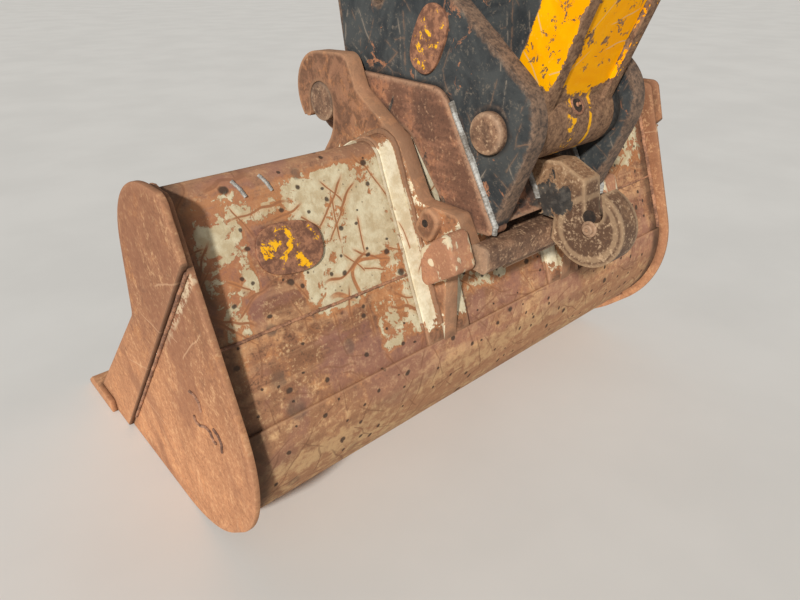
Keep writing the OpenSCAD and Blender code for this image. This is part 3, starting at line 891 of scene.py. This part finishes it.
for number, (name, (paths, radius, ripple, material, slot)) in enumerate(beads.items()):
    verts, edges = [], []
    for way in paths:
        edges += [(len(verts) + i, len(verts) + i + 1) for i in range(len(way) - 1)]
        verts += [spot(*q) for q in way]
    data = bpy.data.meshes.new(name)
    data.from_pydata(verts, edges, [])
    source = bpy.data.objects.new(name + "Path", data)
    bpy.context.scene.collection.objects.link(source)
    modifier = source.modifiers.new("bead", "NODES")
    modifier.node_group = bead.tree
    for label, value in {"Radius": radius, "Ripple": ripple, "Seed": number + 1, "Paint": material}.items():
        modifier[bead.keys[label]] = value
    bpy.context.view_layer.update()
    grown = bpy.data.meshes.new_from_object(source.evaluated_get(bpy.context.evaluated_depsgraph_get()))
    source.modifiers.remove(modifier)
    bpy.data.objects.remove(source)
    mesh = bmesh.new()
    mesh.from_mesh(grown)
    bmesh.ops.recalc_face_normals(mesh, faces=mesh.faces)
    pieceFrom(mesh, name, material, "bucket")
print("weld beads laid")


# Small pieces

def shapeOn(points, depth, middle, outward, upward, soften=0.0):
    # a plate with the given outline, from its seat outwards; points are metres along its width and height
    outward, upward = Vector(outward).normalized(), Vector(upward)
    upward = (upward - outward * upward.dot(outward)).normalized()
    sideways = upward.cross(outward)
    mesh = bmesh.new()
    face = mesh.faces.new([mesh.verts.new(middle + sideways * a + upward * b) for a, b in points])
    raised = bmesh.ops.extrude_face_region(mesh, geom=[face])["geom"]
    raised = [v for v in raised if isinstance(v, bmesh.types.BMVert)]
    bmesh.ops.translate(mesh, verts=raised, vec=outward * depth)
    bmesh.ops.recalc_face_normals(mesh, faces=mesh.faces)
    if soften:
        top = [e for e in mesh.edges if all((v.co - middle).dot(outward) > depth * 0.9 for v in e.verts)]
        bmesh.ops.bevel(mesh, geom=top, offset=soften, segments=3, profile=0.5, affect="EDGES",
                        clamp_overlap=True)
    return mesh


def oval(wide, high, power=2.6, count=48):
    # a rounded outline, squarer as the power rises
    points = []
    for i in range(count):
        c, s = math.cos(2 * math.pi * i / count), math.sin(2 * math.pi * i / count)
        points.append((wide / 2 * math.copysign(abs(c) ** (2 / power), c),
                       high / 2 * math.copysign(abs(s) ** (2 / power), s)))
    return points


def lathe(mesh, rows, middle, outward, steps=24):
    # turned form: rows of distance along the axis and radius
    outward = Vector(outward).normalized()
    aside = outward.orthogonal().normalized()
    over = outward.cross(aside)
    rings = []
    ways = [2 * math.pi * i / steps for i in range(steps)]
    ways = [aside * math.cos(a) + over * math.sin(a) for a in ways]
    for along, radius in rows:
        rings.append([mesh.verts.new(middle + outward * along + way * radius) for way in ways])
    for low, high in zip(rings, rings[1:]):
        for i in range(steps):
            mesh.faces.new((low[i], low[(i + 1) % steps], high[(i + 1) % steps], high[i]))
    mesh.faces.new(rings[0][::-1])
    mesh.faces.new(rings[-1])
    return mesh


def detail(mesh, name, material, slot, body="bucket", cell=0.0):
    bmesh.ops.recalc_face_normals(mesh, faces=mesh.faces)
    points = edgeSamples(sharpEdges(mesh, 24), 0.003)
    if cell:
        gridCut(mesh, cell)
    markMesh(mesh, points, name, False)
    return pieceFrom(mesh, name, material, body)


badge = {"shell": (0.140, 0.098), "ear": (0.084, 0.132), "thick": 0.007}
slope = tangents(shellRows)[2]
backOut = (0, math.cos(slope), math.sin(slope))
backAt = spot(-545, 250 + 40 * math.cos(slope), 812 + 40 * math.sin(slope)) \
    + Vector((0, -math.sin(slope), math.cos(slope))) * 0.121
detail(shapeOn(oval(*badge["shell"]), badge["thick"], backAt, backOut, (0.10, 0, 1), 0.002),
       "shellPlate", badgeRust, "bucket_steel", cell=0.006)
detail(shapeOn(oval(*badge["ear"]), badge["thick"], spot(-190, 168, 1050), (-1, 0, 0), (0, -0.45, 1), 0.002),
       "earPlate", badgeRust, "ear_paint", cell=0.006)

lug = {"wide": 0.056, "high": 0.074, "power": 3.0, "thick": 0.014,
       "hole": ((0, 0.0085), (0.0012, 0.0085), (0.0012, 0.0065), (0.0004, 0.006))}
collar = {"rows": ((-43, 643), (-21, 645), (-18, 649), (-18, 678),
                   (-22, 681), (-42, 679), (-45, 675), (-45, 646)),
          "middle": (-32, 662), "thick": 0.018}
sides = ((-1, "Left"), (1, "Right"))
for side, word in sides:
    plate = shapeOn(oval(lug["wide"], lug["high"], lug["power"]), lug["thick"], spot(side * 241, 100, 700),
                    (side, 0, 0), (0, -0.5, 1), 0.005)
    detail(plate, "hangerLug" + word, hangerRust, "hanger_paint", cell=0.012)
    # painted shade: a dark disc on the lug where its bore would lie in shade
    hole = lathe(bmesh.new(), lug["hole"], spot(side * 254.8, 103, 704), (side, 0, 0))
    detail(hole, "lugHole" + word, holeDark, "hanger_paint")
for side, word in sides:
    midY, midZ = collar["middle"]
    points = [((y - midY) / 1000, (z - midZ) / 1000) for y, z in collar["rows"]][::-side]
    mesh = shapeOn(points, collar["thick"], spot(side * 178, midY, midZ), (side, 0, 0), (0, 0, 1), 0.0025)
    detail(mesh, "barCollar" + word, steelBrown, "worn_steel", cell=0.012)

bossOut = Vector((0, -61, 36)).normalized()
bossAt = spot(-6, -2, 901) + bossOut * 0.0695
left = (-1, 0, 0)
boltRows = ((0, 0.017), (0.003, 0.017), (0.004, 0.015), (0.004, 0.012), (0.010, 0.0115), (0.012, 0.0095),
            (0.012, 0.005), (0.008, 0.0045))
recessRows = ((0, 0.015), (0.0014, 0.014), (0.0014, 0.0125), (0.0005, 0.012))
cupRows = ((0, 0.021), (0.0025, 0.020), (0.0035, 0.0180), (0.0030, 0.0155), (0.001, 0.0145))
floorRows = ((0, 0.0142), (0.0018, 0.0142), (0.0020, 0.004))
nippleRows = ((0.001, 0.005), (0.003, 0.005), (0.004, 0.0030), (0.006, 0.0028), (0.007, 0.0036),
              (0.0085, 0.0034), (0.0095, 0.002))
turned = {  # name: (rows, seat, way out, steps, material, slot, body)
    "hookBolt": (boltRows, spot(-28, -146, 706), left, 24, steelBrown, "coupler_paint", "bucket"),
    # painted shade: a dark disc for the shaded recess by the hook's bolt
    "hookRecess": (recessRows, spot(-28, -141, 730), left, 24, holeDark, "coupler_paint", "bucket"),
    "greaseCup": (cupRows, bossAt, bossOut, 24, weldRust, "link_paint", "link"),
    # painted shade: a dark disc for the shaded floor of the grease cup
    "greaseCupFloor": (floorRows, bossAt, bossOut, 24, holeDark, "link_paint", "link"),
    "greaseNipple": (nippleRows, bossAt, bossOut, 12, weldRust, "link_paint", "link"),
}
for name, (rows, seat, out, steps, material, slot, body) in turned.items():
    detail(lathe(bmesh.new(), rows, seat, out, steps), name, material, slot, body)
print("small pieces fitted")


# Stage

stage = {"floor": tone(216, 214, 210), "floorLight": tone(222, 220, 216), "reach": 40,
         "sunFrom": (-0.80, -0.50, 0.52), "sun": 3.6, "sunWidth": 4, "fill": 0.29}
view = {"from": (-1.0748, -1.1288, -0.0438), "forward": (0.5795, 0.6506, -0.4908),
        "right": (0.7468, -0.6652, 0.0), "lens": 27, "frame": 36, "far": 200}

floorMesh = bpy.data.meshes.new("floor")
far, under = stage["reach"], -stickPin[1] - 0.0005
corners = ((-far, -far), (far, -far), (far, far * 1.5), (-far, far * 1.5))
floorMesh.from_pydata([(x, y, under) for x, y in corners], [], [(0, 1, 2, 3)])
floor = bpy.data.objects.new("floor", floorMesh)
bpy.context.scene.collection.objects.link(floor)
pale = Paint("floorPale", stage)
pale.colour = pale.mix(pale.cloud(1.5, 4).rise(0.3, 0.7), "floor", "floorLight")
floorMesh.materials.append(pale.finish(0.9))

world = bpy.data.worlds.new("studio")
bpy.context.scene.world = world
sky = Nodes(world)
seenBare, seenThrough = sky.add("ShaderNodeLightPath", out=("Is Camera Ray", "Is Transmission Ray"))
shade = sky.add("ShaderNodeBackground", {}, {0: (0.96, 0.98, 1.0, 1.0), 1: stage["fill"]})
white = sky.add("ShaderNodeBackground", {}, {0: (0.9, 0.9, 0.9, 1.0), 1: 1.0})
both = sky.add("ShaderNodeMixShader", {}, {0: seenBare.most(seenThrough), 1: shade, 2: white})
sky.add("ShaderNodeOutputWorld", {}, {0: both}, None)

sunData = bpy.data.lights.new("key", "SUN")
sunData.energy = stage["sun"]
sunData.angle = math.radians(stage["sunWidth"])
sunData.color = (1.0, 0.97, 0.92)
sun = bpy.data.objects.new("key", sunData)
sun.rotation_euler = Vector(stage["sunFrom"]).to_track_quat("Z", "Y").to_euler()
bpy.context.scene.collection.objects.link(sun)

cameraData = bpy.data.cameras.new("camera")
cameraData.sensor_fit = "HORIZONTAL"
cameraData.sensor_width = view["frame"]
cameraData.lens = view["lens"]
cameraData.clip_end = view["far"]
camera = bpy.data.objects.new("camera", cameraData)
forward, right = Vector(view["forward"]).normalized(), Vector(view["right"]).normalized()
up = right.cross(forward)
camera.matrix_world = Matrix.Translation(view["from"]) @ Matrix(
    ((right.x, up.x, -forward.x), (right.y, up.y, -forward.y), (right.z, up.z, -forward.z))).to_4x4()
bpy.context.scene.collection.objects.link(camera)
bpy.context.scene.camera = camera
bpy.context.scene.view_settings.view_transform = "Standard"
print("stage set")

bpy.context.view_layer.update()
